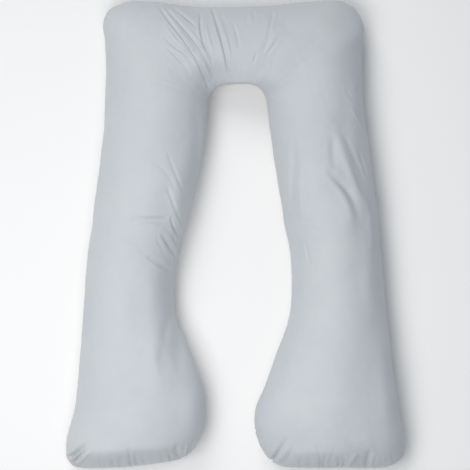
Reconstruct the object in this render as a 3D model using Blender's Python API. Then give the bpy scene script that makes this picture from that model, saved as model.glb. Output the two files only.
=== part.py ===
"""A U-shaped body pillow lying on its back.

One plump cloth tube: a bridge for the head along +Y and two legs that run down to club feet along -Y.
Its front and back panels meet in a single sewn seam that runs round the whole outline, and the filling
swells both panels out from that seam. Units are metres, +Z is up, and the pillow rests on z = 0.
"""

from typing import NamedTuple

import bmesh
import bpy
import numpy as np

# ---- Driving dimensions, in metres -------------------------------------------------------------------

CROWN_POWER = 0.56          # 0.5 would swell the front panel to an oval, 1.0 to a plain arch
LEFT_END_POWER = 1.00       # the same, up from the left foot's sewn end
LEFT_END_ROUNDING = 0.082   # how far the front panel keeps rising inward from that end
RIGHT_END_POWER = 0.36      # the right foot stands up more squarely from its sewn end
RIGHT_END_ROUNDING = 0.066
BASE_POWER = 0.50           # the back panel leaves the seam upright, like a quarter circle
BASE_ROUNDING = 0.085       # how far in from the seam the back panel reaches the surface it lies on
SWELL_FADE = 0.015          # distance from the seam over which the back panel takes up the swells
END_BOW_REACH = 0.120       # how far up a foot the bow of its sewn end dies away
LEFT_END_BOW = 0.004        # the left foot's sewn end swells out
RIGHT_END_BOW = -0.003      # the right foot's sewn end draws in
FOLD_FADE = 0.035           # distance from the seam over which a fold comes up to its full depth

FRONT_STEPS = 24            # faces across the front panel, from outer to inner seam
BACK_STEPS = FRONT_STEPS // 2
FOLD_SAMPLES = 24           # points along a fold's curve

CLOTH_COLOUR = (0.62, 0.66, 0.69, 1.0)
CLOTH_ROUGHNESS = 0.72


class Section(NamedTuple):
    """A cut across the tube, from its outer seam to its inner seam."""

    outer_x: float
    outer_y: float
    inner_x: float
    inner_y: float
    crown: float            # height of the front panel over the line from seam to seam
    outer_seam: float       # height of the outer seam over the surface
    inner_seam: float       # height of the inner seam over the surface
    rings: int              # rings of faces from here to the next section


class Fold(NamedTuple):
    """A crease in the front panel: a trough where depth is positive, a ridge where it is negative."""

    start_x: float
    start_y: float
    middle_x: float
    middle_y: float
    end_x: float
    end_y: float
    width: float
    depth: float


class Swell(NamedTuple):
    """A broad soft rise in the filling, or a hollow where its height is negative."""

    x: float
    y: float
    reach_x: float
    reach_y: float
    height: float


SECTIONS = (
    #        outer x, outer y, inner x, inner y, crown, outer seam, inner seam, rings
    # left foot, from its sewn end up to the heel
    Section(-0.474, -0.724, -0.239, -0.708, 0.120, 0.048, 0.048, 3),
    Section(-0.504, -0.717, -0.184, -0.699, 0.122, 0.050, 0.050, 2),
    Section(-0.522, -0.695, -0.145, -0.679, 0.121, 0.056, 0.056, 2),
    Section(-0.525, -0.663, -0.112, -0.640, 0.120, 0.064, 0.064, 4),
    Section(-0.497, -0.527, -0.090, -0.504, 0.116, 0.080, 0.080, 4),
    Section(-0.479, -0.343, -0.144, -0.343, 0.106, 0.085, 0.085, 3),
    # left leg, up to the shoulder
    Section(-0.473, -0.264, -0.179, -0.264, 0.099, 0.085, 0.085, 4),
    Section(-0.459, -0.079, -0.178, -0.079, 0.099, 0.087, 0.087, 4),
    Section(-0.443, +0.044, -0.146, +0.044, 0.102, 0.088, 0.088, 6),
    Section(-0.412, +0.292, -0.091, +0.292, 0.106, 0.086, 0.086, 4),
    Section(-0.403, +0.423, -0.084, +0.384, 0.106, 0.084, 0.084, 5),
    # left shoulder, fanning round the inner corner
    Section(-0.406, +0.607, -0.080, +0.418, 0.106, 0.080, 0.080, 2),
    Section(-0.411, +0.642, -0.073, +0.437, 0.103, 0.076, 0.086, 2),
    Section(-0.394, +0.691, -0.057, +0.451, 0.093, 0.075, 0.101, 3),
    Section(-0.346, +0.718, -0.043, +0.456, 0.074, 0.079, 0.126, 5),
    # bridge, gathered at the left; its inner seam rides high
    Section(-0.263, +0.720, -0.028, +0.459, 0.060, 0.085, 0.141, 15),
    Section(-0.134, +0.706, -0.012, +0.460, 0.048, 0.092, 0.155, 15),
    Section(+0.005, +0.704, +0.008, +0.461, 0.045, 0.094, 0.157, 10),
    Section(+0.147, +0.712, +0.028, +0.461, 0.050, 0.090, 0.155, 5),
    # right shoulder
    Section(+0.255, +0.721, +0.045, +0.459, 0.056, 0.085, 0.152, 3),
    Section(+0.329, +0.723, +0.060, +0.454, 0.068, 0.077, 0.145, 3),
    Section(+0.375, +0.695, +0.077, +0.442, 0.082, 0.073, 0.128, 2),
    Section(+0.398, +0.645, +0.090, +0.421, 0.097, 0.076, 0.104, 2),
    Section(+0.393, +0.571, +0.098, +0.381, 0.106, 0.081, 0.085, 3),
    Section(+0.393, +0.460, +0.103, +0.338, 0.107, 0.085, 0.085, 11),
    # right leg
    Section(+0.443, +0.044, +0.147, +0.044, 0.101, 0.088, 0.088, 4),
    Section(+0.453, -0.079, +0.168, -0.079, 0.099, 0.087, 0.087, 4),
    Section(+0.472, -0.272, +0.158, -0.272, 0.101, 0.085, 0.085, 3),
    Section(+0.482, -0.368, +0.123, -0.368, 0.108, 0.084, 0.084, 3),
    Section(+0.493, -0.458, +0.092, -0.458, 0.114, 0.082, 0.082, 2),
    Section(+0.505, -0.535, +0.060, -0.535, 0.117, 0.079, 0.079, 3),
    # right foot, from the heel to its sewn end
    Section(+0.523, -0.652, +0.075, -0.652, 0.110, 0.072, 0.072, 2),
    Section(+0.522, -0.681, +0.093, -0.682, 0.106, 0.067, 0.067, 2),
    Section(+0.474, -0.716, +0.137, -0.716, 0.103, 0.062, 0.062, 3),
    Section(+0.422, -0.722, +0.187, -0.720, 0.100, 0.060, 0.060, 0),
)

SWELLS = (
    #     x, y,           reach x, y,   height
    Swell(-0.125, -0.545, 0.042, 0.080, +0.011),  # the left foot's inner side
    Swell(-0.175, -0.690, 0.040, 0.030, -0.014),  # its inner corner
    Swell(-0.240, -0.350, 0.028, 0.075, +0.006),  # the left heel
    Swell(-0.172, -0.335, 0.028, 0.080, -0.015),  # and its inner side
    Swell(-0.246, -0.190, 0.038, 0.090, +0.009),  # the left leg over the heel
    Swell(-0.184, -0.190, 0.022, 0.085, -0.014),  # and its inner side
    Swell(-0.168, +0.108, 0.032, 0.085, +0.013),  # beside the left leg's creases
    Swell(-0.115, +0.250, 0.018, 0.150, -0.006),  # and the inner side from there to the corner
    Swell(-0.080, +0.464, 0.034, 0.036, -0.012),  # the left inner corner
    Swell(+0.476, -0.470, 0.040, 0.140, +0.018),  # the right foot's outer side
    Swell(+0.415, -0.110, 0.028, 0.110, +0.007),  # the right leg's outer side
    Swell(+0.372, +0.400, 0.026, 0.120, +0.007),  # and on up to the shoulder
    Swell(+0.345, +0.040, 0.036, 0.055, +0.006),  # beside the right leg's long folds
    Swell(+0.180, -0.095, 0.022, 0.080, -0.006),  # the right leg's inner edge
    Swell(+0.345, +0.655, 0.060, 0.055, -0.005),  # the top of the right shoulder
    Swell(+0.390, +0.560, 0.050, 0.060, -0.010),  # and its outer side
    Swell(-0.045, +0.472, 0.055, 0.050, -0.017),  # the low place beside it, under the gathers
    Swell(-0.040, +0.565, 0.130, 0.050, +0.009),  # the middle of the bridge
    Swell(+0.130, +0.465, 0.040, 0.035, +0.007),  # the right inner corner
    Swell(+0.198, -0.672, 0.060, 0.025, +0.003),  # the right foot's end, on its inner half
    Swell(+0.400, -0.690, 0.035, 0.040, -0.010),  # and the sunk place on its outer half
)

FOLDS = (
    #     start x, y,      middle x, y,     end x, y,         width, depth
    # gathers that fan across the bridge from the left inner corner
    Fold(-0.236, +0.704, -0.160, +0.598, -0.086, +0.462, 0.010, +0.0080),
    Fold(-0.198, +0.681, -0.127, +0.590, -0.064, +0.458, 0.010, +0.0065),
    Fold(-0.184, +0.704, -0.150, +0.679, -0.125, +0.655, 0.009, +0.0045),
    Fold(-0.113, +0.683, -0.107, +0.621, -0.091, +0.559, 0.010, +0.0070),
    Fold(-0.076, +0.689, -0.051, +0.605, -0.029, +0.491, 0.010, +0.0080),
    Fold(-0.202, +0.578, -0.175, +0.553, -0.153, +0.534, 0.009, +0.0040),
    Fold(-0.187, +0.596, -0.159, +0.562, -0.119, +0.522, 0.009, +0.0045),
    Fold(-0.014, +0.652, -0.002, +0.615, +0.005, +0.577, 0.012, +0.0035),
    Fold(+0.110, +0.689, +0.097, +0.627, +0.079, +0.571, 0.014, +0.0035),
    # slack at the left leg's inner side
    Fold(-0.218, +0.148, -0.196, +0.108, -0.181, +0.040, 0.013, +0.0040),
    Fold(-0.320, +0.052, -0.264, +0.055, -0.212, +0.052, 0.012, +0.0035),
    Fold(-0.233, -0.007, -0.213, -0.034, -0.196, -0.068, 0.012, +0.0045),
    Fold(-0.206, +0.046, -0.196, +0.018, -0.183, -0.016, 0.012, +0.0040),
    Fold(-0.351, -0.016, -0.284, -0.056, -0.218, -0.108, 0.015, +0.0040),
    Fold(-0.215, -0.278, -0.240, -0.325, -0.238, -0.380, 0.025, +0.0040),
    # long soft folds down the right leg
    Fold(+0.275, +0.196, +0.336, +0.140, +0.381, +0.013, 0.015, +0.0070),
    Fold(+0.326, +0.306, +0.355, +0.228, +0.388, +0.157, 0.015, +0.0055),
    Fold(+0.300, +0.335, +0.346, +0.194, +0.409, +0.067, 0.014, -0.0060),
    Fold(+0.187, +0.262, +0.192, +0.185, +0.187, +0.108, 0.016, -0.0030),
    # short gathers at the feet's corners
    Fold(-0.506, -0.686, -0.486, -0.664, -0.462, -0.642, 0.012, +0.0060),
    Fold(+0.111, -0.693, +0.128, -0.667, +0.154, -0.635, 0.012, +0.0060),
)


def smooth_through(knots: np.ndarray, values: np.ndarray, at: np.ndarray) -> np.ndarray:
    """Read a smooth curve that passes through every value, at the given places along its knots."""
    gaps = np.diff(knots)
    slopes = np.diff(values, axis=0) / gaps[:, None]
    tangents = np.empty_like(values)
    tangents[1:-1] = slopes[:-1] * gaps[1:, None] + slopes[1:] * gaps[:-1, None]
    tangents[1:-1] /= (gaps[:-1] + gaps[1:])[:, None]
    tangents[0] = 1.5 * slopes[0] - 0.5 * tangents[1]
    tangents[-1] = 1.5 * slopes[-1] - 0.5 * tangents[-2]
    span = np.clip(np.searchsorted(knots, at, side="right") - 1, 0, len(gaps) - 1)
    t = ((at - knots[span]) / gaps[span])[:, None]
    gap = gaps[span][:, None]
    return (
        values[span] * (2 * t**3 - 3 * t**2 + 1)
        + values[span + 1] * (3 * t**2 - 2 * t**3)
        + tangents[span] * gap * (t**3 - 2 * t**2 + t)
        + tangents[span + 1] * gap * (t**3 - t**2)
    )


def ring_places() -> np.ndarray:
    """Give each ring's place along the table: section 3 is 3.0, and halfway to the next is 3.5."""
    places = []
    for index, section in enumerate(SECTIONS[:-1]):
        places.extend(index + step / section.rings for step in range(section.rings))
    places.append(len(SECTIONS) - 1)
    return np.array(places, dtype=float)


def edge_points(corners: np.ndarray, places: np.ndarray) -> np.ndarray:
    """Draw one seam smoothly through the sections' corners, and read a point on it for each ring."""
    chords = np.linalg.norm(np.diff(corners, axis=0), axis=1)
    knots = np.concatenate([[0.0], np.cumsum(chords)])
    lengths = np.interp(places, np.arange(len(corners)), knots)
    return smooth_through(knots, corners, lengths)


def rounding(distance: np.ndarray, reach: float, power: float) -> np.ndarray:
    """Rise from 0 at the seam to 1 at the given reach: a quarter circle at power 0.5, softer above it."""
    left = 1.0 - np.clip(distance / reach, 0.0, 1.0)
    return (1.0 - left**2) ** power


def swell_heights(points: np.ndarray) -> np.ndarray:
    """Add up how far the swells lift the cloth at each point, given as rings by columns."""
    total = np.zeros(points.shape[:2])
    for swell in SWELLS:
        across = (points[:, :, 0] - swell.x) / swell.reach_x
        along = (points[:, :, 1] - swell.y) / swell.reach_y
        total += swell.height * np.exp(-(across**2) - along**2)
    return total


def fold_depths(points: np.ndarray) -> np.ndarray:
    """Add up how far the folds push the front panel down at each point seen from above."""
    total = np.zeros(len(points))
    t = np.linspace(0.0, 1.0, FOLD_SAMPLES)[:, None]
    for fold in FOLDS:
        start = np.array([fold.start_x, fold.start_y])
        middle = np.array([fold.middle_x, fold.middle_y])
        end = np.array([fold.end_x, fold.end_y])
        curve = start * (1 - t) * (1 - 2 * t) + middle * 4 * t * (1 - t) + end * t * (2 * t - 1)
        distances = np.linalg.norm(points[:, None, :] - curve[None, :, :], axis=2)
        nearest = distances.argmin(axis=1)
        taper = np.sin(np.pi * t[nearest, 0]) ** 0.5
        total += fold.depth * taper * np.exp(-((distances.min(axis=1) / fold.width) ** 2))
    return total


class Tube:
    """The tube's rings: where the seams run, how wide each ring is, and how high it stands."""

    def __init__(self) -> None:
        """Work out every ring from the table of sections."""
        table = np.array(SECTIONS, dtype=float)
        places = ring_places()
        self.outer = edge_points(table[:, 0:2], places)
        self.inner = edge_points(table[:, 2:4], places)
        heights = smooth_through(np.arange(len(table), dtype=float), table[:, 4:7], places)
        self.crown = heights[:, 0]
        self.outer_seam = heights[:, 1]
        self.inner_seam = heights[:, 2]
        self.width = np.linalg.norm(self.outer - self.inner, axis=1)
        middle = (self.outer + self.inner) / 2
        self.from_left_end = np.linalg.norm(middle - middle[0], axis=1)
        self.from_right_end = np.linalg.norm(middle - middle[-1], axis=1)

    def across(self, steps: int) -> tuple[np.ndarray, np.ndarray]:
        """Lay points across every ring, close together near the seams, and give them with their share."""
        share = (1 - np.cos(np.pi * np.arange(steps + 1) / steps)) / 2
        points = self.outer[:, None, :] * (1 - share)[None, :, None]
        points = points + self.inner[:, None, :] * share[None, :, None]
        bow = 4 * share * (1 - share)
        left = LEFT_END_BOW * np.clip(1 - self.from_left_end / END_BOW_REACH, 0, 1)
        right = RIGHT_END_BOW * np.clip(1 - self.from_right_end / END_BOW_REACH, 0, 1)
        points[:, :, 1] -= (left + right)[:, None] * bow[None, :]
        return points, share

    def seam_line(self, share: np.ndarray) -> np.ndarray:
        """Give the height of the straight line from the outer seam to the inner one, at each share."""
        return self.outer_seam[:, None] * (1 - share)[None, :] + self.inner_seam[:, None] * share[None, :]

    def front_panel(self) -> np.ndarray:
        """Shape the front panel: a crown over the seams, uneven with swells and lowered along the folds."""
        points, share = self.across(FRONT_STEPS)
        swell = (4 * share * (1 - share)) ** CROWN_POWER
        ends = rounding(self.from_left_end, LEFT_END_ROUNDING, LEFT_END_POWER)
        ends = ends * rounding(self.from_right_end, RIGHT_END_ROUNDING, RIGHT_END_POWER)
        rise = self.crown[:, None] * swell[None, :] * ends[:, None] + swell_heights(points)
        from_seam = self.width[:, None] * np.minimum(share, 1 - share)[None, :]
        from_end = np.minimum(self.from_left_end, self.from_right_end)
        fade = np.clip(np.minimum(from_seam, from_end[:, None]) / FOLD_FADE, 0, 1)
        folds = fold_depths(points.reshape(-1, 2)).reshape(rise.shape) * fade
        return np.dstack([points, self.seam_line(share) + rise - folds])

    def back_panel(self) -> np.ndarray:
        """Shape the back panel: it curves in under the seam and lies flat along the tube's middle."""
        points, share = self.across(BACK_STEPS)
        from_outer = self.width[:, None] * share[None, :]
        from_inner = self.width[:, None] * (1 - share)[None, :]
        sag = rounding(from_outer, BASE_ROUNDING, BASE_POWER)
        sag = sag * rounding(from_inner, BASE_ROUNDING, BASE_POWER)
        ends = rounding(self.from_left_end, BASE_ROUNDING, BASE_POWER)
        ends = ends * rounding(self.from_right_end, BASE_ROUNDING, BASE_POWER)
        heights = self.seam_line(share) * (1 - sag * ends[:, None])
        from_end = np.minimum(self.from_left_end, self.from_right_end)
        from_seam = np.minimum(np.minimum(from_outer, from_inner), from_end[:, None])
        heights = heights + swell_heights(points) * np.exp(-((from_seam / SWELL_FADE) ** 2))
        return np.dstack([points, heights])


def cover_cloth() -> bpy.types.Material:
    """Make the pale grey cotton of the cover."""
    material = bpy.data.materials.new("cover_cloth")
    material.use_nodes = True
    shader = material.node_tree.nodes["Principled BSDF"]
    shader.inputs["Base Color"].default_value = CLOTH_COLOUR
    shader.inputs["Roughness"].default_value = CLOTH_ROUGHNESS
    shader.inputs["Metallic"].default_value = 0.0
    return material


def sew_panels(front: np.ndarray, back: np.ndarray) -> bmesh.types.BMesh:
    """Join the two panels along the seam, so that they close one body.

    The back panel has every second point of the front panel's rings, so both share the seam's points,
    and at a sewn end, where the panels meet all the way across, a back face takes in the front's extra
    point.
    """
    body = bmesh.new()
    top = [[body.verts.new(point) for point in ring] for ring in front]
    last = len(back) - 1
    bottom = []
    for index, ring in enumerate(back):
        if index in (0, last):
            bottom.append([top[index][2 * step] for step in range(BACK_STEPS + 1)])
            continue
        inside = [body.verts.new(point) for point in ring[1:-1]]
        bottom.append([top[index][0], *inside, top[index][-1]])
    for index in range(last):
        for step in range(FRONT_STEPS):
            here, there = top[index], top[index + 1]
            body.faces.new((here[step], there[step], there[step + 1], here[step + 1]))
        for step in range(BACK_STEPS):
            here, there = bottom[index], bottom[index + 1]
            corners = [here[step], here[step + 1], there[step + 1], there[step]]
            if index == 0:
                corners.insert(1, top[0][2 * step + 1])
            if index == last - 1:
                corners.insert(3, top[last][2 * step + 1])
            body.faces.new(corners)
    bmesh.ops.recalc_face_normals(body, faces=body.faces)
    return body


def make_pillow() -> bpy.types.Object:
    """Build the filled tube as one object."""
    tube = Tube()
    body = sew_panels(tube.front_panel(), tube.back_panel())
    mesh = bpy.data.meshes.new("pillow")
    body.to_mesh(mesh)
    body.free()
    mesh.shade_smooth()
    mesh.materials.append(cover_cloth())
    pillow = bpy.data.objects.new("pillow", mesh)
    bpy.context.scene.collection.objects.link(pillow)
    return pillow


for leftover in list(bpy.data.objects):
    bpy.data.objects.remove(leftover, do_unlink=True)
make_pillow()
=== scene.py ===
"""Dresses the U-shaped body pillow: its cotton cover, the seam round it, and the studio it lies in.

Units are metres and +Z is up, but for the tables of folds, which are in millimetres. The head bridge lies
along +Y, the two feet along -Y, and the pillow rests on its back panel at z = 0.
"""

import logging
import math
from dataclasses import dataclass, field
from enum import Enum
from typing import NamedTuple

import bpy
import numpy as np
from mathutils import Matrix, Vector
from mathutils.kdtree import KDTree


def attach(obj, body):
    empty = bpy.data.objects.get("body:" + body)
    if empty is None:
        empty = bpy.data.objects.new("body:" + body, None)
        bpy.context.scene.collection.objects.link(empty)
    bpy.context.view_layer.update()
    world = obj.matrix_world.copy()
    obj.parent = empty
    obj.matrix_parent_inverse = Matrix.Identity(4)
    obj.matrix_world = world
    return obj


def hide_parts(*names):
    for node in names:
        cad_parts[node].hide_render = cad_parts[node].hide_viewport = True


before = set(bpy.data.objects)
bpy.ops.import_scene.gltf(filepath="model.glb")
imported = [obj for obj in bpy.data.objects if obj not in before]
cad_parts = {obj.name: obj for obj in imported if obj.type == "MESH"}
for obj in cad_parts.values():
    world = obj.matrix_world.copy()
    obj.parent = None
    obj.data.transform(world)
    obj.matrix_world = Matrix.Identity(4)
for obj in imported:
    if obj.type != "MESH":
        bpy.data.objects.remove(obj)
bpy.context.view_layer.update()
PILLOW_NODE = "pillow"
MM = 0.001

# what the cover's mesh tells its cotton: the flat cloth's map, and the measures of the seam
FLAT_PATTERN = "flat_pattern"
FROM_SEAM = "from_seam"
SEAM_RUN = "seam_run"

log = logging.getLogger("body_pillow")


class Panel(Enum):
    """The two panels of cloth that make the cover."""

    FRONT = "front"
    BACK = "back"


class Taper(Enum):
    """How a fold dies away along its curve."""

    BOTH_ENDS = "both ends"
    FAR_END = "far end"


class Section(NamedTuple):
    """A cut across the tube, from its outer seam to its inner seam.

    crown is the front panel's height over the line between the seams. The two rolls say how far the sewn
    line has rolled up on to the front, and pitch is the spacing of the rings up to the next cut.
    """

    outer_x: float
    outer_y: float
    inner_x: float
    inner_y: float
    crown: float
    outer_seam: float
    inner_seam: float
    outer_roll: float
    inner_roll: float
    pitch: float


class Fold(NamedTuple):
    """A crease in the front panel seen from above, in millimetres: a ridge where its depth is negative."""

    start_x: float
    start_y: float
    first_x: float
    first_y: float
    second_x: float
    second_y: float
    end_x: float
    end_y: float
    width: float
    depth: float

    def line(self, t: np.ndarray) -> np.ndarray:
        """Draw the crease's line in metres: one cubic curve through its four points.

        Args:
            t: The places to read. The four points lie at 0, one third, two thirds and 1.

        Returns:
            The x and y of each place.
        """
        weights = (
            (1 - 3 * t) * (1 - 1.5 * t) * (1 - t),
            9 * t * (1 - 1.5 * t) * (1 - t),
            -4.5 * t * (1 - 3 * t) * (1 - t),
            t * (1 - 3 * t) * (1 - 1.5 * t),
        )
        return np.stack(weights, axis=1) @ np.array(self[:-2]).reshape(-1, 2) * MM


class Swell(NamedTuple):
    """A soft rise of the front panel, or a hollow where its height is negative."""

    x: float
    y: float
    reach_x: float
    reach_y: float
    height: float


SECTIONS = (
    #        outer x, outer y, inner x, inner y, crown, outer seam, inner seam, outer roll, inner roll, pitch
    # left foot, from its sewn end up to the heel
    Section(-0.474, -0.724, -0.239, -0.708, 0.120, 0.048, 0.048, 0.003, 0.010, 0.0036),
    Section(-0.504, -0.717, -0.184, -0.699, 0.122, 0.050, 0.050, 0.002, 0.012, 0.0036),
    Section(-0.522, -0.695, -0.145, -0.679, 0.121, 0.056, 0.056, 0.000, 0.009, 0.0040),
    Section(-0.525, -0.663, -0.112, -0.640, 0.120, 0.064, 0.064, 0.000, 0.003, 0.0066),
    Section(-0.497, -0.527, -0.090, -0.504, 0.116, 0.080, 0.080, 0.000, 0.000, 0.0080),
    Section(-0.479, -0.343, -0.144, -0.343, 0.106, 0.085, 0.085, 0.000, 0.000, 0.0068),
    # left leg, up to the shoulder
    Section(-0.473, -0.264, -0.179, -0.264, 0.099, 0.085, 0.085, 0.000, 0.000, 0.0064),
    Section(-0.459, -0.079, -0.178, -0.079, 0.099, 0.087, 0.087, 0.000, 0.000, 0.0052),
    Section(-0.443, +0.044, -0.146, +0.044, 0.102, 0.088, 0.088, 0.000, 0.000, 0.0060),
    Section(-0.412, +0.292, -0.091, +0.292, 0.106, 0.086, 0.086, 0.000, 0.000, 0.0064),
    Section(-0.403, +0.423, -0.084, +0.384, 0.106, 0.084, 0.084, 0.000, 0.000, 0.0062),
    # left shoulder, fanning round the inner corner
    Section(-0.406, +0.607, -0.080, +0.418, 0.106, 0.080, 0.080, 0.000, 0.000, 0.0056),
    Section(-0.411, +0.642, -0.073, +0.437, 0.103, 0.076, 0.086, 0.000, 0.000, 0.0052),
    Section(-0.394, +0.691, -0.057, +0.451, 0.093, 0.075, 0.101, 0.000, 0.000, 0.0046),
    Section(-0.346, +0.718, -0.043, +0.456, 0.074, 0.079, 0.126, 0.000, 0.000, 0.0040),
    # bridge, gathered at the left; its inner seam rides high
    Section(-0.263, +0.720, -0.028, +0.459, 0.060, 0.085, 0.141, 0.000, 0.000, 0.0034),
    Section(-0.134, +0.706, -0.012, +0.460, 0.048, 0.092, 0.155, 0.000, 0.000, 0.0035),
    Section(+0.005, +0.704, +0.008, +0.461, 0.045, 0.094, 0.157, 0.000, 0.000, 0.0042),
    Section(+0.147, +0.712, +0.028, +0.461, 0.050, 0.090, 0.155, 0.000, 0.000, 0.0054),
    # right shoulder
    Section(+0.255, +0.721, +0.045, +0.459, 0.056, 0.085, 0.152, 0.000, 0.000, 0.0060),
    Section(+0.329, +0.723, +0.060, +0.454, 0.068, 0.077, 0.145, 0.000, 0.000, 0.0060),
    Section(+0.375, +0.695, +0.077, +0.442, 0.082, 0.073, 0.128, 0.000, 0.000, 0.0062),
    Section(+0.398, +0.645, +0.090, +0.421, 0.097, 0.076, 0.104, 0.000, 0.000, 0.0066),
    Section(+0.393, +0.571, +0.098, +0.381, 0.106, 0.081, 0.085, 0.000, 0.000, 0.0064),
    Section(+0.393, +0.460, +0.103, +0.338, 0.107, 0.085, 0.085, 0.000, 0.000, 0.0056),
    # right leg
    Section(+0.443, +0.044, +0.147, +0.044, 0.101, 0.088, 0.088, 0.000, 0.000, 0.0066),
    Section(+0.453, -0.079, +0.168, -0.079, 0.099, 0.087, 0.087, 0.000, 0.000, 0.0080),
    Section(+0.472, -0.272, +0.158, -0.272, 0.101, 0.085, 0.085, 0.000, 0.000, 0.0080),
    Section(+0.482, -0.368, +0.123, -0.368, 0.108, 0.084, 0.084, 0.000, 0.000, 0.0080),
    Section(+0.493, -0.458, +0.092, -0.458, 0.114, 0.082, 0.082, 0.000, 0.000, 0.0070),
    Section(+0.505, -0.535, +0.060, -0.535, 0.117, 0.079, 0.079, 0.000, 0.002, 0.0070),
    # right foot, from the heel to its sewn end
    Section(+0.523, -0.652, +0.075, -0.652, 0.110, 0.072, 0.072, 0.000, 0.005, 0.0040),
    Section(+0.522, -0.681, +0.093, -0.682, 0.106, 0.067, 0.067, 0.001, 0.005, 0.0036),
    Section(+0.474, -0.716, +0.137, -0.716, 0.103, 0.062, 0.062, 0.002, 0.003, 0.0036),
    Section(+0.422, -0.722, +0.187, -0.720, 0.100, 0.060, 0.060, 0.003, 0.003, 0.0036),
)

# where the filling stands a little higher or lower than the crown alone
SWELLS = (
    #     x, y, reach along x and y, height
    Swell(-0.125, -0.545, 0.042, 0.080, +0.011),  # the left foot's inner side
    Swell(-0.175, -0.690, 0.040, 0.030, -0.014),  # its inner corner
    Swell(-0.240, -0.350, 0.028, 0.075, +0.006),  # the left heel
    Swell(-0.172, -0.335, 0.028, 0.080, -0.015),  # and its inner side
    Swell(-0.246, -0.190, 0.038, 0.090, +0.009),  # the left leg over the heel
    Swell(-0.184, -0.190, 0.022, 0.085, -0.014),  # and its inner side
    Swell(-0.168, +0.108, 0.032, 0.085, +0.013),  # beside the left leg's creases
    Swell(-0.115, +0.250, 0.018, 0.150, -0.006),  # and the inner side from there to the corner
    Swell(-0.080, +0.464, 0.034, 0.036, -0.012),  # the left inner corner
    Swell(+0.476, -0.470, 0.040, 0.140, +0.018),  # the right foot's outer side
    Swell(+0.415, -0.110, 0.028, 0.110, +0.007),  # the right leg's outer side
    Swell(+0.372, +0.400, 0.026, 0.120, +0.007),  # and on up to the shoulder
    Swell(+0.345, +0.040, 0.036, 0.055, +0.006),  # beside the right leg's long folds
    Swell(+0.180, -0.095, 0.022, 0.080, -0.006),  # the right leg's inner edge
    Swell(+0.345, +0.655, 0.060, 0.055, -0.005),  # the top of the right shoulder
    Swell(+0.390, +0.560, 0.050, 0.060, -0.010),  # and its outer side
    Swell(-0.045, +0.472, 0.055, 0.050, -0.017),  # the low place under the gathers of the bridge
    Swell(-0.040, +0.565, 0.130, 0.050, +0.009),  # the middle of the bridge
    Swell(+0.130, +0.465, 0.040, 0.035, +0.007),  # the right inner corner
    Swell(+0.198, -0.672, 0.060, 0.025, +0.003),  # the right foot's end, on its inner half
    Swell(+0.400, -0.690, 0.035, 0.040, -0.010),  # and the sunk place on its outer half
)

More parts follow.
